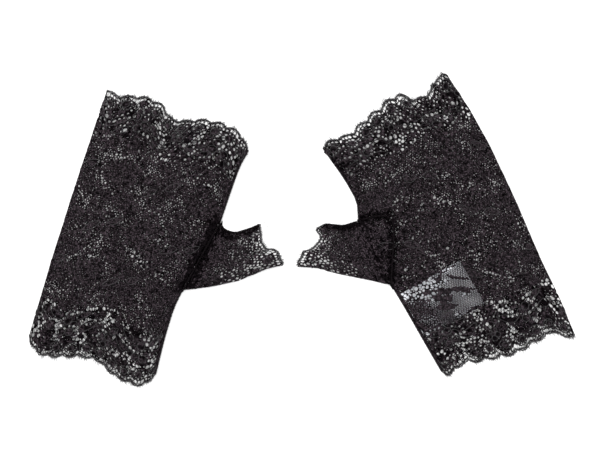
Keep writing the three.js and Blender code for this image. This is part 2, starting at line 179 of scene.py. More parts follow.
class Line:
    """A line of points, read by the fraction of its length, running on straight past its ends."""

    def __init__(self, points, rounds=1):
        p = np.array(points, float)
        for _ in range(rounds):
            inner = np.empty((2 * len(p) - 2, 2))
            inner[0::2] = 0.8 * p[:-1] + 0.2 * p[1:]
            inner[1::2] = 0.2 * p[:-1] + 0.8 * p[1:]
            inner[0], inner[-1] = p[0], p[-1]
            p = inner
        self.p = p
        step = np.linalg.norm(np.diff(p, axis=0), axis=1)
        self.s = np.r_[0, np.cumsum(step)]
        self.length = self.s[-1]
        self.first = (p[1] - p[0]) / step[0]
        self.last = (p[-1] - p[-2]) / step[-1]

    def at(self, t):
        s = np.asarray(t, float) * self.length
        on = read(s, self.s, self.p)
        before, after = np.minimum(s, 0)[..., None], np.maximum(s - self.length, 0)[..., None]
        return on + before * self.first + after * self.last


def shifted(points, d):
    """A line moved sideways by d, to the left of its direction."""
    p = np.array(points, float)
    way = unit(np.diff(p, axis=0))
    normal = np.stack([-way[:, 1], way[:, 0]], -1)
    a, b = np.vstack([normal[:1], normal]), np.vstack([normal, normal[-1:]])
    m = a + b
    return p + d * 2 * m / np.maximum(1.0, (m * m).sum(1))[:, None]


class Patch:
    """A four-sided piece of cloth filled in from its edges; u runs from the fold, v from the first mouth."""

    def __init__(self, first, last, fold, side):
        self.first, self.last, self.fold, self.side = first, last, fold, side

    def at(self, u, v):
        u, v = np.asarray(u, float)[..., None], np.asarray(v, float)[..., None]
        b, t = self.first.at(u[..., 0]), self.last.at(u[..., 0])
        f, s = self.fold.at(v[..., 0]), self.side.at(v[..., 0])
        p00, p10, p01, p11 = self.first.at(0), self.first.at(1), self.last.at(0), self.last.at(1)
        corners = (1 - u) * (1 - v) * p00 + u * (1 - v) * p10 + (1 - u) * v * p01 + u * v * p11
        return (1 - v) * b + v * t + (1 - u) * f + u * s - corners


class Tube:
    """A folded tube of lace. Its flat cloth has p across, 0 at the fold and below 0 on the lower layer,
    and q along from the first mouth. surface() carries flat points on to the folded tube."""

    def __init__(self, mitt, patches, size, space, count, both_open, wobble, gather):
        self.mitt, self.patches, (self.width, self.length) = mitt, patches, size
        self.space, self.gather, self.wobble = space, gather, wobble
        self.count, self.both_open = count, both_open     # small scallops, and mouths at both ends
        self.reach = self.width - CLOTH / 2 - BEND + TURN     # the largest p

    def flat(self, p, q):
        """The place on the mitt's flat outline, with the two edges scalloped."""
        lateral = np.where(np.abs(p) < TURN,
                           CLOTH / 2 + BEND * (1 - np.cos(np.clip(p / BEND, -math.pi / 2, math.pi / 2))),
                           CLOTH / 2 + BEND + np.abs(p) - TURN)
        u = lateral / self.width
        notch = 1 - np.abs(np.sin(math.pi * self.count * u)) ** 0.8
        rough = 0.35 * (1 + soft_noise(u * self.width, np.sign(p) * 30.0 + q * 0.02, 91, 7.0))
        first, last = SCALLOP_DEPTH[self.mitt.name] if self.both_open else (0.0, THUMB_SCALLOP_DEPTH)
        v = q / self.length
        if self.both_open:
            v = v + (first * notch + rough) * (1 - smooth(q / SCALLOP_FADE)) / self.length
        v = v - (last * notch + rough) * (1 - smooth((self.length - q) / SCALLOP_FADE)) / self.length
        place = np.empty(u.shape + (2,))
        for part, patch in ((p < 0, self.patches[0]), (p >= 0, self.patches[1])):
            place[part] = patch.at(u[part], v[part])
        return place

    def surface(self, p, q):
        """The middle of the cloth at flat points, in three dimensions."""
        p, q = np.asarray(p, float), np.asarray(q, float)
        place = self.flat(p, q)
        turn = np.clip(p / BEND, -math.pi / 2, math.pi / 2)
        bend = CLOTH / 2 + BEND * (1 + np.sin(turn))
        upper = 1.5 * CLOTH + self.space(place, np.abs(p) / self.reach, q / self.length)
        x, y = place[..., 0], place[..., 1]
        lift = (upper - 1.5 * CLOTH - NARROW) / (HOLLOW - NARROW)
        upper = upper - self.wobble * lift * (0.5 + 0.5 * soft_noise(x, y, 11, 38.0))
        upper = np.maximum(upper - self.gather(place, p, q), 1.05)
        z = np.where(np.abs(p) < TURN, bend, np.where(p < 0, CLOTH / 2, upper))
        xy = self.mitt.place(place)
        return np.concatenate([xy, z[..., None]], -1)

    def ends(self, borders):
        """Each end that has an open border: the border's depth, its edge, and the way inwards."""
        both = ((borders[0], 0.0, 1), (borders[1], self.length, -1))
        return [end for end in both if end[0]]

    def area(self, low, high):
        """The cloth's own area between two values of p, in square metres."""
        p, q = np.meshgrid(np.linspace(low, high, 120), np.linspace(0, self.length, 120), indexing="ij")
        s = self.surface(p, q)
        cell = np.cross(s[1:, :-1] - s[:-1, :-1], s[:-1, 1:] - s[:-1, :-1])
        return float(np.linalg.norm(cell, axis=-1).sum()) * MM * MM

    def normal(self, p, q):
        """The way out of the cloth at flat points."""
        e = 0.35     # half the stretch of cloth whose slope is taken
        across = self.surface(p + e, q) - self.surface(p - e, q)
        along = self.surface(p, q + e) - self.surface(p, q - e)
        n = np.cross(across, along)
        n /= np.linalg.norm(n, axis=-1)[..., None]
        return -n if self.mitt.mirrored else n


class Mitt:
    """One mitt: its two tubes of lace and where they lie."""

    def __init__(self, cut):
        self.name, self.mirrored, self.cut = cut["name"], cut["mirrored"], cut
        t = math.radians(cut["tilt"])
        self.corner = np.array(cut["corner"]) - SHIFT
        self.along = np.array([-math.sin(t), math.cos(t)])
        self.across = np.array([math.cos(t), math.sin(t)]) * (-1 if self.mirrored else 1)
        self.low, self.high = np.array(cut["side_low"][-1], float), np.array(cut["side_high"][0], float)
        self.chord = np.linalg.norm(self.high - self.low)
        self.chord_way = (self.high - self.low) / self.chord
        self.chord_out = np.array([self.chord_way[1], -self.chord_way[0]])   # towards the thumb

        self.side_line = np.array(cut["side_low"] + cut["side_high"], float)
        self.fold_line = np.array(cut["fold"], float)
        wrist, finger = shifted(cut["wrist"], EDGE_INSET), shifted(cut["finger"], -EDGE_INSET)
        mouth = shifted(cut["thumb_mouth"], EDGE_INSET)
        top = shifted(cut["thumb_top"], -SIDE_INSET * 0.6)
        hand_patches, thumb_patches = [], []
        for slit in (SLIT, BOWED_SLIT if cut["bow"] else SLIT):     # lower layer, upper layer
            inner = [self.low - slit * self.chord_out, self.high - slit * self.chord_out]
            side = np.vstack([shifted(cut["side_low"], SIDE_INSET)[:-1], inner,
                              shifted(cut["side_high"], SIDE_INSET)[1:]])
            base = np.array([self.low + slit * self.chord_out, self.high + slit * self.chord_out])
            hand_patches.append(self._patch(wrist, finger, cut["fold"], side))
            thumb_patches.append(self._patch(base, mouth, cut["thumb_fold"], top))
        scallops = round(Line(cut["wrist"]).length / SCALLOP_PITCH)
        self.hand = Tube(self, hand_patches, HAND_SIZE, self.hand_space, scallops, True, 1.1,
                         self.hand_gather)
        self.thumb = Tube(self, thumb_patches, THUMB_SIZE, self.thumb_space, THUMB_SCALLOPS, False, 0.6,
                          self.thumb_gather)

    @staticmethod
    def _patch(first, last, fold, side):
        fold, side = np.array(fold, float), np.array(side, float)
        fold[0], fold[-1], side[0], side[-1] = first[0], last[0], first[-1], last[-1]
        return Patch(Line(first), Line(last), Line(fold, 0), Line(side, 0))

    def place(self, flat):
        """Flat points in the frame of the pair."""
        return self.corner + flat[..., :1] * self.across + flat[..., 1:] * self.along

    def point(self, flat, z):
        """One flat point in the frame of the pair, in metres."""
        xy = self.place(np.array(flat, float))
        return (xy[0] * MM, xy[1] * MM, z * MM)

    def hand_space(self, place, _u, _v):
        """The space between the hand's layers."""
        x, y = place[..., 0], place[..., 1]
        from_fold = x - np.interp(y, self.fold_line[:, 1], self.fold_line[:, 0])
        from_side = np.interp(y, self.side_line[:, 1], self.side_line[:, 0]) - 2.1 - x
        rise, near = smooth((from_fold - 0.6) / HAND_RISE), smooth(from_side / HAND_RISE)
        t = (y - self.low[1]) / (self.high[1] - self.low[1]) * self.chord
        hole = smooth(t / THUMB_RISE) * smooth((self.chord - t) / THUMB_RISE)
        return NARROW + (HOLLOW - NARROW) * rise * (1 - (1 - near) * (1 - hole))

    def from_chord(self, place):
        """Distance from the thumb hole's line, and how far along it."""
        d = place - self.low
        return np.abs(d @ self.chord_out), d @ self.chord_way

    def hand_gather(self, place, _p, _q):
        """Small folds in the hand's upper layer beside the thumb hole."""
        d, t = self.from_chord(place)
        near = smooth((t + 5) / 7) * smooth((self.chord + 5 - t) / 7)
        near = near * (1 - smooth((d - 3.0) / (6.0 if self.mirrored else 9.0)))
        wander = soft_noise(place[..., 0], place[..., 1], 71, 11.0)
        fold = 0.5 + 0.5 * np.cos(2 * math.pi * d / 3.4 + 3.4 * wander)
        return (0.8 if self.mirrored else 1.4) * near * fold * (0.6 + 0.4 * wander)

    def thumb_gather(self, place, p, q):
        """Small folds along the thumb's top seam and at its base."""
        wander = soft_noise(place[..., 0], place[..., 1], 72, 13.0)
        d, _ = self.from_chord(place)
        seam, base = (0.5 + 0.5 * np.cos(2 * math.pi * s / pitch + 2 * wander)
                      for s, pitch in ((q, 3.1), (d, 2.7)))
        seam = (1 - smooth((self.thumb.reach - np.abs(p)) / 10.0)) * seam
        base = (1 - smooth((d - 1.5) / 7.0)) * base
        return 1.1 * seam + (0.6 if self.mirrored else 1.1) * base

    def thumb_space(self, _place, u, v):
        """The same for the thumb's, u from the fold to the seam and v from the base to the mouth."""
        across = self.chord + (29.0 - self.chord) * np.clip(v, 0, 1)
        rise, near = smooth((u * across - 0.6) / THUMB_RISE), smooth((1 - u) * across / THUMB_RISE)
        return NARROW + (HOLLOW - NARROW) * rise * near


# ---- mesh making -----------------------------------------------------------------------------
def make_object(name, points, quads, tris, kinds, materials, smooth_shading=True):
    """An object from arrays of points in millimetres and of faces; kinds gives each face's material."""
    mesh = bpy.data.meshes.new(name)
    quads, tris = np.asarray(quads, np.int32).reshape(-1, 4), np.asarray(tris, np.int32).reshape(-1, 3)
    mesh.vertices.add(len(points))
    mesh.vertices.foreach_set("co", (np.asarray(points) * MM).astype(np.float32).ravel())
    mesh.loops.add(quads.size + tris.size)
    mesh.loops.foreach_set("vertex_index", np.concatenate([quads.ravel(), tris.ravel()]))
    mesh.polygons.add(len(quads) + len(tris))
    starts = np.concatenate([np.arange(len(quads)) * 4, quads.size + np.arange(len(tris)) * 3])
    mesh.polygons.foreach_set("loop_start", starts.astype(np.int32))
    for m in materials:
        mesh.materials.append(m)
    if kinds is not None:
        mesh.polygons.foreach_set("material_index", np.asarray(kinds, np.int32))
    mesh.update(calc_edges=True)
    mesh.validate()
    if smooth_shading:
        mesh.polygons.foreach_set("use_smooth", np.ones(len(mesh.polygons), bool))
    obj = bpy.data.objects.new(name, mesh)
    bpy.context.scene.collection.objects.link(obj)
    return obj


def net(tube, points, keep, hole, thick, dark_and_shaded):
    """The net whose cells surround the given flat points. hole is the width of each cell's hole as a share
    of the cell (0 closes it), thick the thickness of its threads and dark_and_shaded its material, 1 for the
    darker lace that is partly painted shade. Returns the points and faces of a closed skin and the faces'
    materials."""
    _, _, faces, origin, _, _ = delaunay_2d_cdt([Vector(p) for p in points], [], [], 0, 1e-7)
    order = np.array([o[0] if o else -1 for o in origin])
    tri = order[np.array([f for f in faces if len(f) == 3], np.int64)]
    corner = points[tri].mean(1)
    cell, at = tri.ravel(), np.repeat(np.arange(len(tri)), 3)
    used = keep[cell]
    cell, at = cell[used], at[used]
    spoke = corner[at] - points[cell]
    turn = np.lexsort((np.arctan2(spoke[:, 1], spoke[:, 0]), cell))
    cell, at, spoke = cell[turn], at[turn], spoke[turn]
    new_run = np.r_[True, cell[1:] != cell[:-1]]
    run = np.cumsum(new_run) - 1
    start = np.flatnonzero(new_run)
    count = np.diff(np.r_[start, len(cell)])
    following = np.arange(len(cell)) + 1
    following[start + count - 1] = start

    # Corner points of the cells: a top and a bottom one each, as thick as the threads there.
    ids, local = np.unique(at, return_inverse=True)
    fatness = np.bincount(local, thick[cell], len(ids)) / np.bincount(local, minlength=len(ids))
    at_p, at_q = corner[ids, 0], corner[ids, 1]
    middle, up = tube.surface(at_p, at_q), tube.normal(at_p, at_q)
    top, bottom = middle + up * fatness[:, None] / 2, middle - up * fatness[:, None] / 2
    n = len(ids)

    # Edges of the holes: halfway between the cell's own shape and a circle.
    radius = np.linalg.norm(spoke, axis=1)
    mean = (np.bincount(run, radius) / count)[run]
    opened = hole[cell] > 0
    rim = spoke * ((0.45 * radius + 0.55 * mean) / radius * hole[cell])[:, None]
    rim_at = points[cell[opened]] + rim[opened]
    rims = tube.surface(rim_at[:, 0], rim_at[:, 1])
    rim_id = np.full(len(cell), -1)
    rim_id[opened] = 2 * n + np.arange(opened.sum())
    k = np.flatnonzero(opened)
    a, b = local[k], local[following[k]]
    quads = [np.stack([a, b, rim_id[following[k]], rim_id[k]], -1),
             np.stack([b + n, a + n, rim_id[k], rim_id[following[k]]], -1)]
    kinds = [dark_and_shaded[cell[k]], dark_and_shaded[cell[k]]]

    # Closed cells: a shallow cushion above and below.
    shut_cells = np.unique(cell[~opened])
    centre_of = np.full(len(points), -1)
    base = 2 * n + int(opened.sum())
    centre_of[shut_cells] = base + np.arange(len(shut_cells))
    mid, out = (f(points[shut_cells, 0], points[shut_cells, 1]) for f in (tube.surface, tube.normal))
    lift = thick[shut_cells][:, None] * 0.62
    k = np.flatnonzero(~opened)
    a, b, c = local[k], local[following[k]], centre_of[cell[k]]
    tris = [np.stack([a, b, c], -1), np.stack([b + n, a + n, c + len(shut_cells)], -1)]
    tri_kinds = [dark_and_shaded[cell[k]], dark_and_shaded[cell[k]]]

    # The outer edge of the net.
    a, b = local, local[following]
    outer = ~np.isin(a * n + b, b * n + a)
    quads.append(np.stack([b[outer], a[outer], a[outer] + n, b[outer] + n], -1))
    kinds.append(dark_and_shaded[cell[outer]])
    quads, tris = np.concatenate(quads), np.concatenate(tris)
    if tube.mitt.mirrored:
        quads, tris = quads[:, ::-1], tris[:, ::-1]
    skin = np.concatenate([top, bottom, rims, mid + out * lift, mid - out * lift])
    skin[:, 2] = np.maximum(skin[:, 2], CLEARANCE)
    return skin, quads, tris, np.concatenate(kinds + tri_kinds)


class Threads:
    """Round threads gathered into one mesh."""

    def __init__(self, sides):
        self.sides, self.points, self.quads, self.tris, self.n = sides, [], [], [], 0

    def add(self, line, up, radius, closed=False):
        """A thread along a line of 3-D points; up is a direction across it at each point."""
        line, up = np.asarray(line, float), np.asarray(up, float)
        m, s = len(line), self.sides
        radius = np.broadcast_to(np.asarray(radius, float), (m,))
        ahead = np.roll(line, -1, 0) - np.roll(line, 1, 0) if closed else np.gradient(line, axis=0)
        ahead /= np.maximum(np.linalg.norm(ahead, axis=1), 1e-9)[:, None]
        side = np.cross(ahead, up)
        side /= np.maximum(np.linalg.norm(side, axis=1), 1e-9)[:, None]
        up = np.cross(side, ahead)
        a = np.arange(s) * 2 * math.pi / s
        round_it = np.cos(a)[None, :, None] * side[:, None] + np.sin(a)[None, :, None] * up[:, None]
        ring = (line[:, None] + radius[:, None, None] * round_it).reshape(-1, 3)
        ring[:, 2] = np.maximum(ring[:, 2], CLEARANCE)
        self.points.append(ring)
        i, j = np.meshgrid(np.arange(m if closed else m - 1), np.arange(s), indexing="ij")
        i2, j2 = (i + 1) % m, (j + 1) % s
        quad = np.stack([i * s + j, i2 * s + j, i2 * s + j2, i * s + j2], -1).reshape(-1, 4)
        self.quads.append(quad + self.n)
        if not closed:
            fan = np.arange(1, s - 1)
            cap = np.stack([np.zeros_like(fan), fan, fan + 1], -1)
            self.tris += [cap + self.n, cap[:, ::-1] + self.n + (m - 1) * s]
        self.n += m * s

    def edge(self, tube, p, q, radius=HAIR, low=HAIR_FLOOR):
        """A thread along flat points of a tube, at least low above the floor: a hair, if nothing is said."""
        line = tube.surface(p, q)
        line[:, 2] = np.maximum(line[:, 2], low)
        self.add(line, tube.normal(p, q), radius)

    def laid(self, tube, outline, radius, lift, step):
        """A closed thread laid on a tube's lace along a flat outline, lift above the middle of the cloth."""
        flat = np.vstack([outline, outline[:1]])
        flat[:, 0] = np.clip(flat[:, 0], -tube.reach, tube.reach)
        s = run(flat)
        count = max(3, int(round(s[-1] / step)))
        p, q = read(np.linspace(0, s[-1], count + 1)[:-1], s, flat).T
        up = tube.normal(p, q)
        self.add(tube.surface(p, q) + up * lift, up, radius, closed=True)

    def rings(self, tube, eyes, most, radius, lift):
        """Two rings round each of the eyes that lie no further than most from the fold."""
        for c, size in eyes:
            for r in RING_RADII if abs(c[0]) <= most else ():
                self.laid(tube, c + r * size * circle(16), radius, lift if c[0] > 0 else 0.1, 0.8)

    def motifs(self, tube, shapes, first, radius, lift):
        """Outlines round the raised shapes that lie clear of the edges, first being the lowest of them."""
        for outline, raised in shapes:
            c = outline.mean(0)
            if raised and abs(c[0]) < tube.reach - 3 and first < c[1] < tube.length - 3:
                clear = np.stack([outline[:, 0], np.clip(outline[:, 1], 1, tube.length - 1)], -1)
                self.laid(tube, clear, radius, lift if c[0] > 0 else 0.1, 0.9)

    def wind(self, core, lean, turned, loops, reach, radius):
        """Loops of thread wound over a core. turned is the angle gone through at a pitch of 1 mm, and loops
        holds the phase and the pitch of each thread."""
        way = unit(np.gradient(core, axis=0))
        out = unit(np.cross(way, lean))
        up = np.cross(out, way)
        for phase, pitch in loops:
            a = phase + turned / pitch
            line = core + reach * (np.cos(a)[:, None] * out + np.sin(a)[:, None] * up)
            self.add(line, np.cross(way, line - core) + 1e-6, radius)

    def object(self, name, material):
        tris = np.concatenate(self.tris) if self.tris else []
        points, quads = np.concatenate(self.points), np.concatenate(self.quads)
        return make_object(name, points, quads, tris, None, [material])


# ---- the pattern of the lace -----------------------------------------------------------------
def leaf(x, y, angle, length, width, bow):
    """The outline of a pointed, slightly bowed leaf that springs from (x, y)."""
    t = np.linspace(0, 1, 13)
    half = width / 2 * np.sin(math.pi * t ** 0.8)
    spine = np.stack([t * length, bow * length * np.sin(math.pi * t / 2) ** 2 * t], -1)
    edge = np.vstack([spine + np.stack([0 * t, half], -1), (spine - np.stack([0 * t, half], -1))[-2:0:-1]])
    c, s = math.cos(angle), math.sin(angle)
    return edge @ np.array([[c, s], [-s, c]]) + [x, y]


def leaf_pair(x, gap, y, angle, length, width, bow):
    """Two leaves that mirror each other about x."""
    return [leaf(x + gap, y, angle, length, width, bow),
            leaf(x - gap, y, math.pi - angle, length, width, -bow)]


def flower(x, y, radius, petals, angle):
    """Outlines of the petals of a flower."""
    out = []
    for i in range(petals):
        a = angle + 2 * math.pi * i / petals
        t = np.linspace(0, 2 * math.pi, 15)[:-1]
        r = radius * 0.62
        px = 0.2 * radius + r * 0.62 * (1 - np.cos(t))
        py = radius * math.sin(math.pi / petals) * 0.62 * np.sin(t) * (0.8 + 0.35 * (1 - np.cos(t)) / 2)
        c, s = math.cos(a), math.sin(a)
        out.append(np.stack([x + c * px - s * py, y + s * px + c * py], -1))
    return out


def repeats(reach):
    """The middles of the pattern's repeats across a flat cloth."""
    return [(k + 0.5) * LOBE for k in range(-int(reach // LOBE) - 2, int(reach // LOBE) + 2)]


def lobes(p):
    """How far the inner side of a border rises at each place across the cloth."""
    return LOBE_RISE * np.cos(2 * math.pi * p / LOBE)


def middle_motifs(c, low, high):
    """Row number and place of each motif between two heights in the repeat about c."""
    rows = max(1, int((high - low) // ROW))
    return [(r, c + (LOBE / 2 if r % 2 else 0), low + (r + 0.5) * (high - low) / rows) for r in range(rows)]


def pattern(tube, borders):
    """Outlines of the solid shapes over a whole flat cloth. Each is (outline, raised) where raised says that
    it has a satin outline thread. borders are the depths of the open borders at the two mouths, or 0."""
    shapes = []
    for c in repeats(tube.reach):
        for depth, at_edge, way in tube.ends(borders):
            d = depth / 28.0
            outlines = flower(0, 16.5 * d, 6.2, 5, 0.3)
            outlines += leaf_pair(0, 6.0, 15.5 * d, 0.15, 13, 4.6, 0.3)
            outlines += leaf_pair(0, 4.5, 20.5 * d, 0.75, 9.5, 3.6, -0.2)
            outlines += flower(LOBE / 2, 12.5 * d, 4.4, 5, 0.9)
            outlines += leaf_pair(LOBE / 2, -3, 17 * d, 2.0, 8.5, 3.4, 0.2)
            shapes += [(np.stack([c + o[:, 0], at_edge + way * o[:, 1]], -1), True) for o in outlines]
        for r, x, y in middle_motifs(c, borders[0] + 6, tube.length - borders[1] - 6):
            shapes += [(petal, False) for petal in flower(x, y, 10.5, 6, 0.4 * r)]
            for a in 2 * math.pi * np.arange(5) / 5 + 0.5 + r:
                spring = (x + 11 * math.cos(a), y + 11 * math.sin(a))
                shapes.append((leaf(*spring, a + 0.7, 12.5, 4.6, 0.35), False))
            x += LOBE / 2
            for i in range(4):
                a = math.pi / 2 * i + 0.3
                spring = (x + 2 * math.cos(a), y + 2 * math.sin(a))
                shapes.append((leaf(*spring, a, 9.5, 4.2, 0.3), i % 2 == 0))
    return shapes


def inside(points, outlines):
    """True for each point that lies in any of the outlines."""
    hit = np.zeros(len(points), bool)
    for o in outlines:
        low, high = o.min(0), o.max(0)
        near = np.flatnonzero(((points > low) & (points < high)).all(1) & ~hit)
        if not len(near):
            continue
        x, y = points[near, 0][:, None], points[near, 1][:, None]
        a, b = o, np.roll(o, -1, 0)
        crosses = (a[:, 1] > y) != (b[:, 1] > y)
        rise = np.where(b[:, 1] == a[:, 1], 1e-9, b[:, 1] - a[:, 1])
        left = x < (b[:, 0] - a[:, 0]) * (y - a[:, 1]) / rise + a[:, 0]
        hit[near] = (crosses & left).sum(1) % 2 == 1
    return hit


def hexes(low_p, high_p, low_q, high_q, pitch):
    """Centres of the cells of an even honeycomb."""
    rows = np.arange(low_q, high_q, pitch * 0.866)
    cols = np.arange(low_p, high_p, pitch)
    p, q = np.meshgrid(cols, rows)
    p = p + (np.arange(len(rows)) % 2)[:, None] * pitch / 2
    return np.stack([p.ravel(), q.ravel()], -1)


def thinned(points, others, gap):
    """Points that are at least gap away from every other point given."""
    if not len(others):
        return points
    far = np.ones(len(points), bool)
    for chunk in range(0, len(points), 2000):
        part = points[chunk:chunk + 2000]
        d2 = ((part[:, None] - others[None]) ** 2).sum(-1)
        far[chunk:chunk + 2000] = d2.min(1) > gap * gap
    return points[far]


def scrolls(tube, borders):
    """Curling lines of open holes over the middle of a flat cloth."""
    lines = []
    curls = ((12.6, 0.3, 1.7), (12.6, 2.5, 1.6), (12.6, 4.6, 1.3), (17.5, 1.2, 1.0), (17.5, 3.9, 1.1))
    for c in repeats(tube.reach):
        for _, x, y in middle_motifs(c, borders[0] + 5, tube.length - borders[1] - 5):
            for radius, start, sweep in curls:
                a = np.arange(start, start + sweep, 1.95 / radius)
                rr = radius + 2.2 * np.sin((a - start) / sweep * math.pi * 1.5)
                lines.append(np.stack([x + rr * np.cos(a), y + rr * np.sin(a) * 0.82], -1))
    return lines


def cells(centres, hole, thick):
    """Rows of cells: the place of each one's middle, its hole and the thickness of its threads."""
    return np.column_stack([centres, np.full(len(centres), hole), np.full(len(centres), thick)])


def mouth_cells(tube, rng, depth, at_edge, way, border_pitch):
    """The large cells of one open border, a group for each row and ring, and the rings' middles and sizes."""
    low, high = -tube.reach - 4, tube.reach + 4
    cols = np.arange(low, high, border_pitch * 0.92)
    groups = [cells(np.stack([cols, np.full(len(cols), at_edge + way * 1.2)], -1), *MOUTH_ROW)]
    eyes = []
    scallop, offset = tube.width / tube.count, CLOTH / 2 + BEND - TURN
    for k in range(tube.count):
        for side in (-1, 1):
            c = np.array([side * ((k + 0.5) * scallop - offset), at_edge + way * 5.5])
            c = c + rng.uniform(-0.6, 0.6, 2)
            if rng.random() < 0.22:
                continue
            size = rng.uniform(0.78, 1.05)
            eyes.append((c, size))
            groups.append(cells(np.vstack([c[None], c + 1.2 * size * circle(6)]), *RING_MIDDLE))
            groups.append(cells(c + 3.05 * size * circle(10, rng.uniform(0, 1)), *RING_ROUND))
    # Rows of large holes along the inner side of the border, in arcs that follow the lobes.
    for extra in (0.0, -9.0) if tube.both_open else ():
        cols = np.arange(low, high, border_pitch * 1.15)
        arc = at_edge + way * (depth + extra - 1.4 + lobes(cols))
        kept = rng.random(len(cols)) > 0.25
        arc = arc + rng.normal(0, 0.35, len(cols))
        groups.append(cells(np.stack([cols, arc], -1)[kept], *ARC_ROW))
    return groups, eyes


def lace_cells(tube, borders, seed, ground_pitch, border_pitch, window):
    """Every cell over a whole flat cloth, as columns of place, hole and thickness, with flags that tell the
    large ones and the ones that show, and the middles of the rings."""
    rng = np.random.default_rng(seed)
    reach, length, ends = tube.reach, tube.length, tube.ends(borders)
    low_p, high_p = -reach - 4, reach + 4
    groups, eyes = [], []

    def past(points, extra=0.0):
        """True for points that lie further in than every border."""
        return np.all([way * (points[:, 1] - at) > depth + extra for depth, at, way in ends], axis=0)

    def honeycomb(low_q, high_q, pitch, jitter):
        grid = hexes(low_p, high_p, low_q, high_q, pitch)
        return grid + rng.normal(0, jitter * pitch, grid.shape)

    for end in ends:
        large, rings = mouth_cells(tube, rng, *end, border_pitch)
        groups += large
        eyes += rings
    for line in scrolls(tube, borders):
        line = line[past(line, 5)]
        line = line + rng.normal(0, 0.45, line.shape)
        line = thinned(line[rng.random(len(line)) > 0.25], np.concatenate(groups)[:, :2], 1.7)
        groups.append(cells(line, *SCROLL_ROW))
    large = np.concatenate(groups)
    for depth, at_edge, way in ends:
        grid = honeycomb(2.9, depth + 5, border_pitch, 0.15)
        grid = grid[grid[:, 1] < depth + lobes(grid[:, 0])]
        grid[:, 1] = at_edge + way * grid[:, 1]
        groups.append(cells(thinned(grid, large[:, :2], border_pitch * 0.78), *BORDER_NET))
    grid = honeycomb(-4, length + 4, ground_pitch, 0.17)
    grid = grid[past(grid, lobes(grid[:, 0]))]
    grid = thinned(grid, np.concatenate(groups)[:, :2], ground_pitch * 0.85)
    cloth = np.concatenate(groups + [cells(grid, *GROUND_NET)])
    chosen = np.arange(len(cloth)) < len(large)

    # In the borders the folded layers lie hole over hole in places, so the lower one repeats the upper one.
    in_border = ~np.all([way * (cloth[:, 1] - at) >= depth - 3 for depth, at, way in ends], axis=0)
    twin, rest = in_border & (cloth[:, 0] > 0.9), ~(in_border & (cloth[:, 0] < -0.9))
    mirrored = cloth[twin]
    mirrored[:, :2] = mirrored[:, :2] * [-1, 1] + rng.normal(0, 0.10, (len(mirrored), 2))
    cloth, chosen = np.concatenate([cloth[rest], mirrored]), np.concatenate([chosen[rest], chosen[twin]])
    for i, (pitch, jitter, hole, thick) in enumerate(LABEL_NETS if window else ()):
        kept = ~window.under(cloth[:, :2])[i]
        new = honeycomb(-4, length + 4, pitch, jitter)
        new = thinned(new[window.under(new)[i]], cloth[kept, :2], 0.76 * pitch)
        cloth = np.concatenate([cloth[kept], cells(new, hole, thick)])
        chosen = np.concatenate([chosen[kept], np.zeros(len(new), bool)])

    # Points past the edges only shape the outermost cells.
    on_cloth = (cloth[:, 1] >= 0) & (cloth[:, 1] <= length)
    cloth, chosen = cloth[on_cloth], chosen[on_cloth]
    keep = (np.abs(cloth[:, 0]) < reach) & (cloth[:, 1] > 0) & (cloth[:, 1] < length)
    cols = np.arange(low_p, high_p, border_pitch * 0.86)
    ghosts = np.concatenate([np.stack([cols, np.full(len(cols), q)], -1)
                             for q in (-1.1, -3.2, length + 1.1, length + 3.2)])
    none = np.zeros(len(ghosts), bool)
    cloth = np.concatenate([cloth, cells(ghosts, 0.0, 0.4)])
    return cloth, np.concatenate([chosen, none]), np.concatenate([keep, none]), eyes


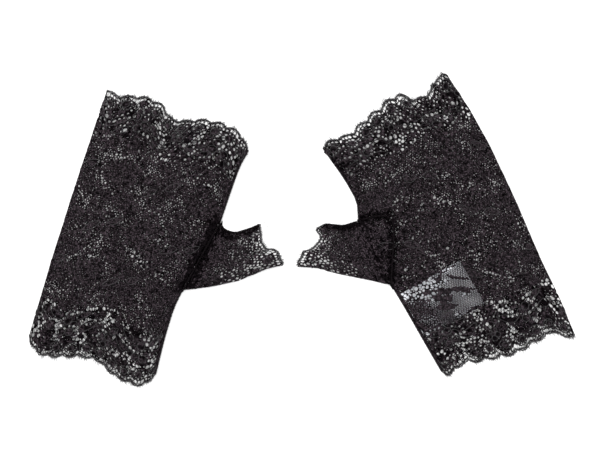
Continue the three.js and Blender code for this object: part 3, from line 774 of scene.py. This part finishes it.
def lace(tube, borders, seed, ground_pitch, border_pitch, crowd, window=None):
    """The cells of one tube with its flowers and leaves filled in. crowd tells how open each cell is left,
    and window is the part over the label."""
    cloth, chosen, keep, eyes = lace_cells(tube, borders, seed, ground_pitch, border_pitch, window)
    points, (p, q, plain, thick) = cloth[:, :2], cloth.T
    shapes = pattern(tube, borders)
    eye_zone = np.zeros(len(points), bool)
    for c, _ in eyes:
        eye_zone |= ((points - c) ** 2).sum(1) < 3.8 ** 2
    bold = inside(points, [s for s, raised in shapes if raised]) & ~eye_zone & ~chosen
    faint = inside(points, [s for s, raised in shapes if not raised]) & ~eye_zone & ~chosen & ~bold
    rng = np.random.default_rng(seed + 9)
    # Solid shapes are close knitting with pin holes left in it, more of them in the faint ones.
    near_end = bold & (q > tube.length - borders[1] - 2)
    near_wrist = q < borders[0]
    end_share, end_hole = (0.72, 0.50) if tube.both_open else (0.85, 0.58)
    pin_share = np.where(near_end, end_share, np.where(near_wrist, 0.60, 0.35))
    pin_hole = np.where(near_end, end_hole, np.where(near_wrist, 0.47, 0.36))
    hole = np.where(bold, np.where(rng.random(len(points)) < pin_share, pin_hole, 0.0), plain)
    hole = np.where(faint, np.where(rng.random(len(points)) < 0.65, 0.46, 0.0), hole)
    thick = np.where(bold | faint, (thick + 0.10) * rng.uniform(0.7, 1.5, len(points)), thick)
    # Holes wander in size, and close up where the cloth is doubled or crowded.
    drift = 1 + 0.10 * soft_noise(p, q, seed + 5, 23.0)
    drift = drift * rng.uniform(0.62, 1.25, len(points))
    # Open and close patches of the borders lie side by side, alike in both layers.
    patch = smooth(0.5 + 1.1 * soft_noise(np.abs(p), q, seed + 40, 12.0))
    at_end = (0.84, 1.10)
    if tube.both_open:
        at_end = (0.70, 1.09) if tube.mitt.mirrored else (0.78, 1.13)
    for depth, along, least, most in ((borders[0], q, 0.65, 1.30),
                                      (borders[1], tube.length - q, *at_end)):
        openness = least + (most - least) * patch
        drift = np.where(along < depth, drift * np.where(chosen, 0.5 + 0.5 * openness, openness), drift)
    cluster = smooth(0.5 + 0.9 * soft_noise(np.abs(p) * 0.8, q * 1.3, seed + 41, 15.0))
    middle = (q > borders[0]) & (q < tube.length - borders[1])
    drift = np.where(middle & ~chosen, drift * (0.84 + 0.32 * cluster ** 2), drift)
    shown = np.zeros(len(points), bool)
    if window:
        shown, shut, openness = window.shown(points)
        openness = openness * np.where(plain > 0.65, rng.uniform(0.55, 1.2, len(points)), 1.0)
        hole = np.where(shown, np.where(shut, 0.0, plain * openness), hole)
    hole = np.clip(hole * np.where(shown, 1.0, drift) * crowd(points), 0, 0.88)
    hole = np.where(hole < 0.2, 0.0, hole)
    clogged = rng.random(len(points)) < (0.13 if tube.both_open else 0.06)
    hole = np.where(clogged & ~chosen & ~shown, 0.0, hole)
    return points, hole, thick, keep, eyes, shapes


# ---- materials -------------------------------------------------------------------------------
def shader(name, dark, light, scale, roughness, bump_scale, bump_strength, contrast=(0.34, 0.68), **sockets):
    """Thread or cloth: two colours in a noise, with a bump of fine fibres."""
    material = bpy.data.materials.new(name)
    material.use_nodes = True
    tree = material.node_tree
    surface = tree.nodes["Principled BSDF"]

    def settings(made, values):
        for socket, value in values.items():
            made.inputs[socket.replace("_", " ")].default_value = value
        return made

    def node(kind, **values):
        return settings(tree.nodes.new("ShaderNode" + kind), values)

    def link(source, output, target, socket):
        tree.links.new(source.outputs[output], target.inputs[socket])

    place = node("TexCoord")
    noise = node("TexNoise", Scale=scale, Detail=5.0, Roughness=0.62)
    link(place, "Object", noise, "Vector")
    ramp = node("ValToRGB")
    for stop, position, colour in zip(ramp.color_ramp.elements, contrast, (dark, light)):
        stop.position, stop.color = position, (*colour, 1)
    link(noise, "Fac", ramp, "Fac")
    link(ramp, "Color", surface, "Base Color")
    rough = node("MapRange", To_Min=roughness[0], To_Max=roughness[1])
    link(noise, "Fac", rough, "Value")
    link(rough, "Result", surface, "Roughness")
    fibre = node("TexNoise", Scale=bump_scale, Detail=2.0)
    link(place, "Object", fibre, "Vector")
    bump = node("Bump", Strength=bump_strength, Distance=0.0002)
    link(fibre, "Fac", bump, "Height")
    link(bump, "Normal", surface, "Normal")
    settings(surface, sockets)
    return material


LACE = shader("black_lace", (0.0006, 0.0004, 0.0005), (0.058, 0.044, 0.053), 1350.0, (0.42, 0.62),
              2100.0, 0.7, Specular_IOR_Level=0.04, contrast=(0.48, 0.64))
# The darker copy of the lace: painted shade in the folds by the thumb hole and at the thumb's base and seam,
# and a random darker tone in scattered cells elsewhere.
DARK_AND_SHADED_LACE = shader("black_lace_doubled", (0.0004, 0.0003, 0.0004), (0.013, 0.010, 0.012), 1500.0, (0.6, 0.8),
              2100.0, 0.7, Specular_IOR_Level=0.0, contrast=(0.46, 0.70))
SATIN = shader("satin_outline_thread", (0.008, 0.007, 0.008), (0.026, 0.024, 0.026), 420.0, (0.25, 0.42),
               6800.0, 0.3, Specular_IOR_Level=0.35)
# The thread of the thumb seams, darker than the side seams' thread; the difference is painted shade of the
# crowded thumb base.
SHADED_OVERLOCK = shader("overlock_thread", (0.0006, 0.0005, 0.0006), (0.010, 0.0075, 0.009), 1300.0, (0.6, 0.8),
                  3000.0, 0.6, Specular_IOR_Level=0.02)
SEAM = shader("side_seam_thread", (0.0012, 0.0009, 0.0011), (0.027, 0.021, 0.025), 900.0, (0.7, 0.9),
              3500.0, 0.6, Specular_IOR_Level=0.03, contrast=(0.42, 0.66))
PALE = shader("pale_thread", (0.10, 0.095, 0.09), (0.26, 0.25, 0.24), 900.0, (0.45, 0.65), 6000.0, 0.3)
LABEL = shader("label_ribbon", (0.72, 0.74, 0.79), (0.95, 0.96, 1.0), 130.0, (0.3, 0.5), 2500.0, 0.25,
               Sheen_Weight=0.3, Sheen_Roughness=0.3)


# ---- camera, light and floor -----------------------------------------------------------------
def stage():
    scene = bpy.context.scene
    scene.view_settings.view_transform = "Standard"
    camera = bpy.data.objects.new("camera", bpy.data.cameras.new("camera"))
    camera.data.lens, camera.data.sensor_width = 85.0, 36.0
    camera.location = (-0.0012, 0.0004, 0.853)
    scene.collection.objects.link(camera)
    scene.camera = camera

    half, down = 2500, -0.02
    corners = [[-half, -half, down], [half, -half, down], [half, half, down], [-half, half, down]]
    paper = shader("pale_floor", (0.90, 0.90, 0.90), (0.93, 0.93, 0.93), 6.0, (0.7, 0.8), 300.0, 0.02)
    make_object("floor", corners, [[0, 1, 2, 3]], [], None, [paper], False)

    world = bpy.data.worlds.new("studio")
    scene.world = world
    world.use_nodes = True
    background = world.node_tree.nodes["Background"]
    background.inputs["Color"].default_value = (1.0, 1.0, 1.0, 1)
    background.inputs["Strength"].default_value = 1.0

    def lamp(name, place, size, power):
        data = bpy.data.lights.new(name, "AREA")
        data.shape, data.size, data.energy = "DISK", size, power
        o = bpy.data.objects.new(name, data)
        o.location = place
        o.rotation_euler = (-Vector(place)).to_track_quat("-Z", "Y").to_euler()
        scene.collection.objects.link(o)

    lamp("key", (-0.75, 0.85, 1.2), 0.8, 25.0)
    lamp("fill", (0.9, -0.5, 1.2), 1.1, 11.0)


# ---- building --------------------------------------------------------------------------------
def hand_q(mitt, flat):
    """How far along the hand's side edge a flat point lies."""
    q = np.linspace(0, mitt.hand.length, 400)
    line = mitt.hand.flat(np.full(400, mitt.hand.reach), q)
    return q[np.argmin(((line - flat) ** 2).sum(1))]


def label_outline(mitt):
    """The flat outline of the label in the right mitt."""
    line = Line(shifted(mitt.cut["side_low"], 2.1), 0)
    low, high = (line.at(s / line.length) for s in (LABEL_START, LABEL_START + LABEL_WIDTH))
    edge = (high - low) / LABEL_WIDTH
    into = np.array([-edge[1], edge[0]]) * LABEL_LENGTH
    return np.array([low, high, high + into, low + into])


class Window:
    """The part of the right mitt's upper layer that lies over the label. u is how far a flat point lies out
    from the label's sewn end, and v how far up it."""

    # Over the label the net is plain, but for a flower and a few leaves.
    over_label = flower(22.0, 16.6, 6.0, 5, 0.3)
    over_label += [leaf(26.0, 18.6, -0.51, 17.0, 3.1, 0.0), leaf(28.6, 27.2, -0.84, 16.0, 1.9, 0.15),
                   leaf(20.6, 24.6, 0.42, 9.5, 2.6, 0.2), leaf(13.6, 13.6, -0.56, 16.5, 3.4, 0.12),
                   leaf(11.6, 25.2, -0.62, 8.5, 2.0, 0.2), leaf(27.5, 0.8, 0.0, 12.0, 1.8, 0.05)]
    # Spots where larger cells lie in the fine net: the middle and the half widths of each.
    glints = ((33.5, 11.0, 3.4, 1.3), (23.4, 2.8, 2.0, 1.7), (26.6, 24.0, 2.2, 1.1), (33.0, 29.0, 5.6, 0.8))

    def __init__(self, mitt, seed):
        self.hand, self.corners, self.seed = mitt.hand, label_outline(mitt), seed

    def measured(self, points):
        """Where flat points of the tube lie: on its upper layer, u, v, and under which kind of net."""
        (p, q), (corner, top, _, out) = points.T, self.corners
        d = self.hand.flat(p, q) - corner
        u, v = d @ (out - corner) / LABEL_LENGTH, d @ (top - corner) / LABEL_WIDTH
        big_celled = (u < 22.5) & (v > 25.2 - 0.55 * u)     # the corner under large open cells
        glinting = np.any([((u - x) / a) ** 2 + ((v - y) / b) ** 2 < 1 for x, y, a, b in self.glints], axis=0)
        return p > 0, u, v, big_celled, glinting

    def shown(self, points):
        """Which points lie over the label, which of them a leaf closes, and how open the others are."""
        upper, u, v, big_celled, glinting = self.measured(points)
        over = upper & (u > 0) & (u < LABEL_LENGTH) & (v > 0) & (v < LABEL_WIDTH)
        wander = soft_noise(u * 0.6 + v * 0.5, v, self.seed, 9.0)
        openness = np.where(v < 9.5, np.where(u < 28, 0.86, 0.84), 0.95) + 0.09 * wander
        openness = np.where((u < 14) | ((u < 22) & (v < 20)), 0.58 + 0.30 * wander, openness)
        openness = np.where(big_celled, 1.03, np.where(glinting, 1.25, openness))
        return over, inside(np.stack([u, v], -1), self.over_label), openness

    def under(self, points):
        """Which points lie in each of the label's nets."""
        upper, u, v, big_celled, glinting = self.measured(points)
        near = (u > 12) & (u < LABEL_LENGTH + 1) & (v > -1) & (v < LABEL_WIDTH + 1)
        return (upper & near & ~big_celled, upper & (u > 0) & (v < LABEL_WIDTH + 0.5) & big_celled,
                upper & glinting)


class Maker:
    """Builds one mitt's pieces."""

    def __init__(self, mitt):
        self.mitt, self.side, self.hand, self.thumb = mitt, mitt.name, mitt.hand, mitt.thumb
        self.body, self.thumb_body = f"{self.side}_mitt", f"{self.side}_thumb"
        self.seed = 20 if self.side == "left" else 50
        self.window = Window(mitt, self.seed + 6) if mitt.mirrored else None
        self.low_q, self.high_q = hand_q(mitt, mitt.low), hand_q(mitt, mitt.high)
        root = (mitt.low + mitt.high) / 2
        self.hinge = [mitt.point(root + mitt.chord_out * s, HINGE_HEIGHT) for s in HINGE_BAND]

    def done(self, piece, rider, node=None):
        """Gives a piece what it rides on, and hides the solid that it stands for."""
        rider(piece)
        if node:
            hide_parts(f"{self.side}_{node}")

    def with_hand(self, piece):
        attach(piece, self.body)

    def with_thumb(self, piece):
        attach(piece, self.thumb_body)

    def across_fold(self, piece):
        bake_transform(piece)

    def hole_band(self, points, depth, spread):
        """How far a flat point of the hand is in the crowded band beside the thumb hole."""
        p, q = points.T
        from_side = self.hand.reach - np.abs(p)
        at_hole = smooth((q - self.low_q + 5) / 7) * smooth((self.high_q + 5 - q) / 7)
        return at_hole * (1 - smooth((from_side - depth) / spread))

    def drawn(self, chance, draw):
        """1 for each cell that the draw picks with its chance."""
        return (np.random.default_rng(self.seed + draw).random(len(chance)) < chance).astype(int)

    def dark_and_shaded_hand(self, points):
        """1 for each cell of the hand that gets the darker lace: painted shade in the band of folds beside
        the thumb hole, darker cells along the right mitt's bowed seam, and random darker cells elsewhere,
        most in the borders.
        """
        mitt, hand, (p, q) = self.mitt, self.hand, points.T
        # Painted shade in the band of folds beside the thumb hole.
        chance = self.hole_band(points, 2.5, 8.0) * (0.35 if mitt.mirrored else 1.0)
        if mitt.mirrored:
            place = hand.flat(p, q)
            line = Line(mitt.cut["bow"], 2).at(np.linspace(0, 1, 60))
            d = np.sqrt(((place[:, None] - line[None]) ** 2).sum(-1)).min(1)
            chance = np.maximum(chance, (p > 0) * (1 - smooth((d - 1.2) / 3.0)))
        # Random darker cells, more of them in the borders.
        in_border = np.minimum(q - WRIST_BORDER, hand.length - FINGER_BORDER - q) < 0
        return self.drawn(np.maximum(chance, np.where(in_border, 0.34, 0.06)), 77)

    def dark_and_shaded_thumb(self, points):
        """The same for the thumb: painted shade at its base and along its top seam."""
        p, q = points.T
        at_base = (1 - smooth((q - 1.0) / 9.0)) * (0.35 if self.mitt.mirrored else 0.9)
        at_seam = 0.8 * (1 - smooth((self.thumb.reach - np.abs(p) - 2.0) / 4.0))
        return self.drawn(np.maximum(at_base, at_seam), 78)

    def crowd_hand(self, points):
        """How open each cell of the hand is left by crowding at its side, its fold and the thumb hole."""
        p, q = points.T
        near = smooth((self.hand.reach - np.abs(p)) / 4.2)
        band = self.hole_band(points, 3.5, 6.5)
        if self.mitt.mirrored:
            bowed = inside(self.hand.flat(p, q), [np.array(self.mitt.cut["bow"])])
            band = np.where(p < 0, band, np.maximum(0.45 * band, 0.42 * bowed))
        return (0.30 + 0.70 * near) * (1 - band) * np.where(np.abs(p) < 0.8, 0.0, 1.0)

    def crowd_thumb(self, points):
        """The same for the thumb, at its seam, its fold and its base."""
        p, q = points.T
        near = smooth((self.thumb.reach - np.abs(p) - 0.5) / 7.0)
        base = smooth((q - 2.0) / 10.0)
        fold = np.where(np.abs(p) < 0.8, 0.0, 1.0)
        return (0.35 + 0.65 * near) * (0.45 + 0.68 * base) * fold * (0.80 if self.mitt.mirrored else 0.88)

    def hand_lace(self):
        hand, borders = self.hand, (WRIST_BORDER, FINGER_BORDER)
        points, hole, thick, keep, eyes, shapes = lace(hand, borders, self.seed, GROUND_PITCH, BORDER_PITCH,
                                                       self.crowd_hand, self.window)
        dark_and_shaded = self.dark_and_shaded_hand(points)
        for layer, part in (("upper", points[:, 0] >= 0), ("lower", points[:, 0] < 0)):
            skin = net(hand, points, keep & part, hole, thick, dark_and_shaded)
            piece = make_object(f"{self.side}_hand_lace_{layer}", *skin, [LACE, DARK_AND_SHADED_LACE])
            self.done(piece, self.with_hand, "hand_panel")
            hand.area(0, hand.reach)
        if self.window:
            shapes = [s for s in shapes if not self.window.shown(s[0].mean(0)[None])[0][0]]
        outline = Threads(5)
        outline.motifs(hand, shapes, 3, 0.17, 0.28)
        outline.rings(hand, eyes, hand.reach - 2, 0.19, 0.30)
        piece = outline.object(f"{self.side}_hand_motif_outlines", SATIN)
        self.done(piece, self.with_hand)

    def hand_edges(self):
        hand = self.hand
        for edge, q, way, draw in (("wrist", -0.55, -1, 4), ("finger", hand.length + 0.55, 1, 3)):
            cord = Threads(6)
            p = np.arange(-hand.reach + 0.4, hand.reach - 0.4, 0.45)
            wave = np.abs(np.sin(p * math.pi / 1.9))
            picots = q + way * (0.34 * wave - 0.17 + 0.12 * np.sin(p * 1.7))
            cord.edge(hand, p, picots, 0.30 + 0.12 * wave + 0.04 * np.sin(p * 5.3), CORD_FLOOR)
            # Fine fringe along the edge.
            rng = np.random.default_rng(self.seed + draw)
            t = np.linspace(0, 1, len(HAIR))
            for start in np.arange(-hand.reach + 1, hand.reach - 1, 0.50):
                length = 0.35 + min(2.2, rng.exponential(0.68))
                lean = rng.normal(0, 0.35)
                across = start + rng.normal(0, 0.15) + lean * t * length
                cord.edge(hand, across, q + way * (0.2 + t * length))
            piece = cord.object(f"{self.side}_{edge}_edge", SATIN)
            self.done(piece, self.with_hand, f"{edge}_edge_cord")

    def thumb_lace(self):
        thumb, pitches = self.thumb, (GROUND_PITCH * 1.05, BORDER_PITCH * 0.98)
        points, hole, thick, keep, eyes, shapes = lace(thumb, (0, THUMB_BORDER), self.seed + 100, *pitches,
                                                       self.crowd_thumb)
        skin = net(thumb, points, keep, hole, thick, self.dark_and_shaded_thumb(points))
        piece = make_object(f"{self.side}_thumb_lace", *skin, [LACE, DARK_AND_SHADED_LACE])
        self.done(piece, self.across_fold, "thumb_panel")
        thumb.area(-thumb.reach, thumb.reach)
        outline = Threads(5)
        outline.rings(thumb, eyes, math.inf, 0.18, 0.28)
        outline.motifs(thumb, shapes, 6, 0.16, 0.26)
        piece = outline.object(f"{self.side}_thumb_motif_outlines", SATIN)
        self.done(piece, self.across_fold)

    def thumb_edge(self):
        thumb = self.thumb
        cord = Threads(6)
        p = np.arange(-thumb.reach + 0.3, thumb.reach - 0.3, 0.7)
        cord.edge(thumb, p, np.full(len(p), thumb.length + 0.55), 0.40, CORD_FLOOR)
        rng = np.random.default_rng(self.seed + 31)
        t = np.linspace(0, 1, len(HAIR))
        for start in np.arange(-thumb.reach + 1, thumb.reach - 1, 0.7):
            length = rng.uniform(0.4, 1.7)
            across = start + rng.normal(0, 0.3) * t * length
            cord.edge(thumb, across, thumb.length + 0.6 + t * length)
        piece = cord.object(f"{self.side}_thumb_edge", SATIN)
        self.done(piece, self.with_thumb, "thumb_edge_cord")

    def overlock(self, name, node, points, radius, rider, material):
        """An overlocked seam: a core with loops of thread wound over it."""
        path = Line(points, 1)
        n = int(path.length / 0.6)
        spots = np.linspace(0, 1, n)
        core = np.concatenate([self.mitt.place(path.at(spots)), np.full((n, 1), SEAM_HEIGHT)], -1)
        uneven = 1 + 0.08 * np.sin(spots * path.length * 2.3) + 0.06 * np.sin(spots * path.length * 5.1 + 1)
        seam = Threads(8)
        seam.add(core, np.tile([0, 0, 1.0], (n, 1)), radius * 0.82 * uneven)
        t = np.linspace(0.01, 0.99, int(path.length / 0.16))
        core = read(t, spots, core)
        loops = ((0.0, LOOP_PITCH), (math.pi, LOOP_PITCH), (1.3, LOOP_PITCH * 1.9))
        seam.wind(core, [0, 0, 1.0], 2 * math.pi * t * path.length, loops, radius * 0.93, 0.11)
        self.done(seam.object(f"{self.side}_{name}", material), rider, node)

    def straight_seams(self):
        cut = self.mitt.cut
        low, high = (shifted(cut[run], SIDE_SEAM) for run in ("side_low", "side_high"))
        back = high[0] - high[1]
        high = np.vstack([high[0] + back / np.linalg.norm(back) * 0.9, high])
        top = Line(shifted(cut["thumb_top"], -0.8), 1).at(np.linspace(0.04, 0.97, 12))
        self.overlock("lower_seam", "lower_side_seam", low, SIDE_SEAM, self.with_hand, SEAM)
        self.overlock("upper_seam", "upper_side_seam", high, SIDE_SEAM, self.with_hand, SEAM)
        self.overlock("thumb_seam", "thumb_top_seam", top, THUMB_SEAM, self.across_fold, SHADED_OVERLOCK)

    def hole_seam(self):
        """The thumb-hole seam: along the lower layer, round the low end, back along the upper layer."""
        mitt = self.mitt
        chord = mitt.chord_way * mitt.chord
        low_run = [(*(mitt.low + chord * s), RING_LOW) for s in np.linspace(0.97, 0.0, 34)]
        if mitt.cut["bow"]:
            top = Line(list(reversed(mitt.cut["bow"])), 4).at(np.linspace(0.01, 0.96, 44))
            high = 2 * CLOTH + mitt.hand_space(top, None, None) + 0.25
        else:
            top = mitt.low + np.outer(np.linspace(0, 0.97, 34), chord)
            high = 1.5 * CLOTH + mitt.hand_space(top - mitt.chord_out * 0.9, None, None)
        half = (high[0] - RING_LOW) / 2
        turn = []
        for a in np.radians([-60, -30, 0, 30, 60]):
            spot = mitt.low - mitt.chord_way * (0.4 + half * math.cos(a))
            turn.append((*spot, RING_LOW + half * (1 + math.sin(a))))
        ring = np.array(low_run + turn + [(x, y, z) for (x, y), z in zip(top, high)])
        xyz = np.concatenate([mitt.place(ring[:, :2]), ring[:, 2:]], -1)
        s = run(xyz)

        def spaced(step):
            """Distances along the seam, a step apart, and the points there."""
            t = np.linspace(0, s[-1], int(s[-1] / step))
            return t, read(t, s, xyz)

        seam, lean = Threads(8), [0.2, 0.1, 1.0]
        t, core = spaced(0.5)
        seam.add(core, np.tile(lean, (len(core), 1)), RING_CORE * (1 + 0.1 * np.sin(t * 3.1)))
        t, core = spaced(0.16)
        seam.wind(core, lean, 2 * math.pi * t, ((0.0, 1.3), (math.pi, 1.3)), RING_LOOP, 0.1)
        piece = seam.object(f"{self.side}_thumb_hole_overlock", SHADED_OVERLOCK)
        self.done(piece, self.with_hand, "thumb_hole_seam")


def loose_thread(mitt):
    """The loose thread at the upper corner of the left thumb mouth."""
    root = np.array(mitt.cut["thumb_top"][-1], float)
    curl = np.array([[0.9, 1.0, 2.4], [2.4, 1.0, 2.7], [3.5, 0.3, 2.6], [4.4, -0.8, 2.3], [5.0, -2.0, 1.8],
                     [5.3, -3.2, 1.2]])
    curl = read(np.linspace(0, 5, 24), np.arange(6), curl)
    kernel = np.ones(5) / 5
    curl[2:-2] = np.stack([np.convolve(curl[:, k], kernel, "valid") for k in range(3)], -1)
    strand = np.concatenate([mitt.place(curl[:, :2] + root), curl[:, 2:]], -1)
    thread = Threads(6)
    thread.add(strand, np.tile([0, 0, 1.0], (24, 1)), np.linspace(0.2, 0.12, 24))
    piece = thread.object("left_thread_end", PALE)
    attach(piece, "left_thumb")
    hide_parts("left_loose_thread")


def label(mitt):
    """The label: a sheer ribbon between the layers of the right mitt."""
    corner = label_outline(mitt)
    nu, nv = 40, 30
    u, v = np.meshgrid(np.linspace(0, LABEL_LENGTH, nu), np.linspace(0, LABEL_WIDTH, nv), indexing="ij")
    flat = (corner[0] + v[..., None] * (corner[1] - corner[0]) / LABEL_WIDTH
            + u[..., None] * (corner[3] - corner[0]) / LABEL_LENGTH)
    z = LABEL_LOW + smooth(u / 10) * (0.55 + 0.35 * np.sin(u / 6.0) * np.sin(v / 9.0 + 0.5))
    xyz = np.concatenate([mitt.place(flat), z[..., None]], -1).reshape(-1, 3)
    count = nu * nv
    points = np.vstack([xyz + [0, 0, 0.1], xyz - [0, 0, 0.1]])
    i, j = np.meshgrid(np.arange(nu - 1), np.arange(nv - 1), indexing="ij")
    a = (i * nv + j).ravel()
    top = np.stack([a, a + 1, a + nv + 1, a + nv], -1)
    rim = np.concatenate([np.arange(nv - 1), np.arange(nu - 1) * nv + nv - 1,
                          np.arange(count - 1, count - nv, -1), np.arange(nu - 1, 0, -1) * nv])
    ahead = np.roll(rim, -1)
    walls = np.stack([ahead, rim, rim + count, ahead + count], -1)
    quads = np.concatenate([top, top[:, ::-1] + count, walls])
    piece = make_object("right_label_ribbon", points, quads, [], None, [LABEL])
    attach(piece, "right_label")
    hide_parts("right_care_label")


stage()
left, right = Mitt(LEFT), Mitt(RIGHT)
for maker in (Maker(left), Maker(right)):
    maker.hand_lace()
    maker.hand_edges()
    maker.thumb_lace()
    maker.thumb_edge()
    maker.straight_seams()
    maker.hole_seam()
loose_thread(left)
label(right)
